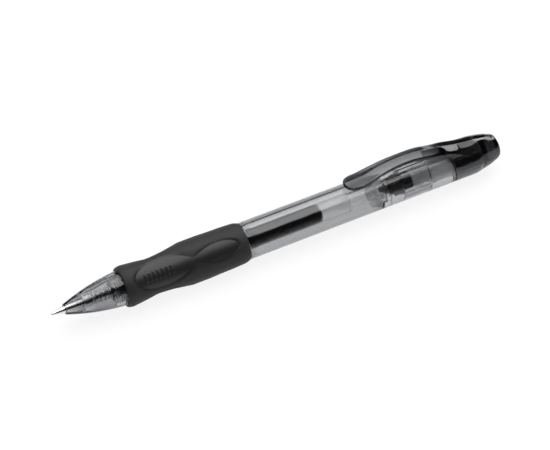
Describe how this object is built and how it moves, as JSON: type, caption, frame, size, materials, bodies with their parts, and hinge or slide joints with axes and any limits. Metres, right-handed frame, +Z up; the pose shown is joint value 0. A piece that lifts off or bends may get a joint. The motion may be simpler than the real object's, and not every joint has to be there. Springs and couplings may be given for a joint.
{
  "type": "retractable gel pen",
  "caption": "Retractable gel pen with smoke-transparent barrel, contoured rubber grip and a push cap that carries the pocket clip.",
  "frame": {"origin": "bottom centre of the pen's box as it lies on its side, on the surface that the grip rests on", "axes": "+X along the pen from the writing tip to the push cap, +Z straight up through the clip, +Y to the side"},
  "size_m": [0.1446, 0.0129, 0.0169],
  "materials": {
    "smoke_plastic": "polished, smoke-tinted transparent",
    "dark_smoke_plastic": "polished, dark smoke transparent",
    "clear_plastic": "polished, clear",
    "grip_rubber": "fine matte",
    "grey_plastic": "moulded satin",
    "black_plastic": "moulded satin",
    "spring_steel": "bright wire",
    "tube_plastic": "clear, slightly milky",
    "gel_ink": "wet black",
    "grease": "clear gel",
    "holder_plastic": "milky moulded plastic",
    "tip_metal": "turned and plated",
    "ball_metal": "ground carbide"
  },
  "bodies": {
    "barrel_body": {"nose_cone": "smoke_plastic", "barrel": "smoke_plastic", "grip_sleeve": "grip_rubber", "rear_sleeve": "clear_plastic", "return_spring": "spring_steel"},
    "cap_body": {"cap_clip": "dark_smoke_plastic", "thrust_crown": "grey_plastic"},
    "refill_body": {"refill_tube": "tube_plastic", "ink_column": "gel_ink", "follower_grease": "grease", "tip_holder": "holder_plastic", "metal_tip": "tip_metal"},
    "rotor_body": {"cam_rotor": "black_plastic"},
    "ball_body": {"writing_ball": "ball_metal"}
  },
  "joints": [
    {"name": "cap_slide", "type": "slide", "parent": "barrel_body", "child": "cap_body", "axis": [1, 0, 0], "range_m": [-0.0003, 0.0055]},
    {"name": "refill_slide", "type": "slide", "parent": "barrel_body", "child": "refill_body", "axis": [1, 0, 0], "range_m": [-0.0003, 0.0055], "deforming": ["return_spring"]},
    {"name": "rotor_turn", "type": "hinge", "parent": "refill_body", "child": "rotor_body", "pos_m": [0.038, 0, 0.00645], "axis": [1, 0, 0], "continuous": true},
    {"name": "ball_roll", "type": "hinge", "parent": "refill_body", "child": "ball_body", "pos_m": [-0.0719, 0, 0.00645], "axis": [0, 1, 0], "continuous": true}
  ],
  "couplings": [
    {"joint": "refill_slide", "follows": "cap_slide", "ratio": 1}
  ]
}
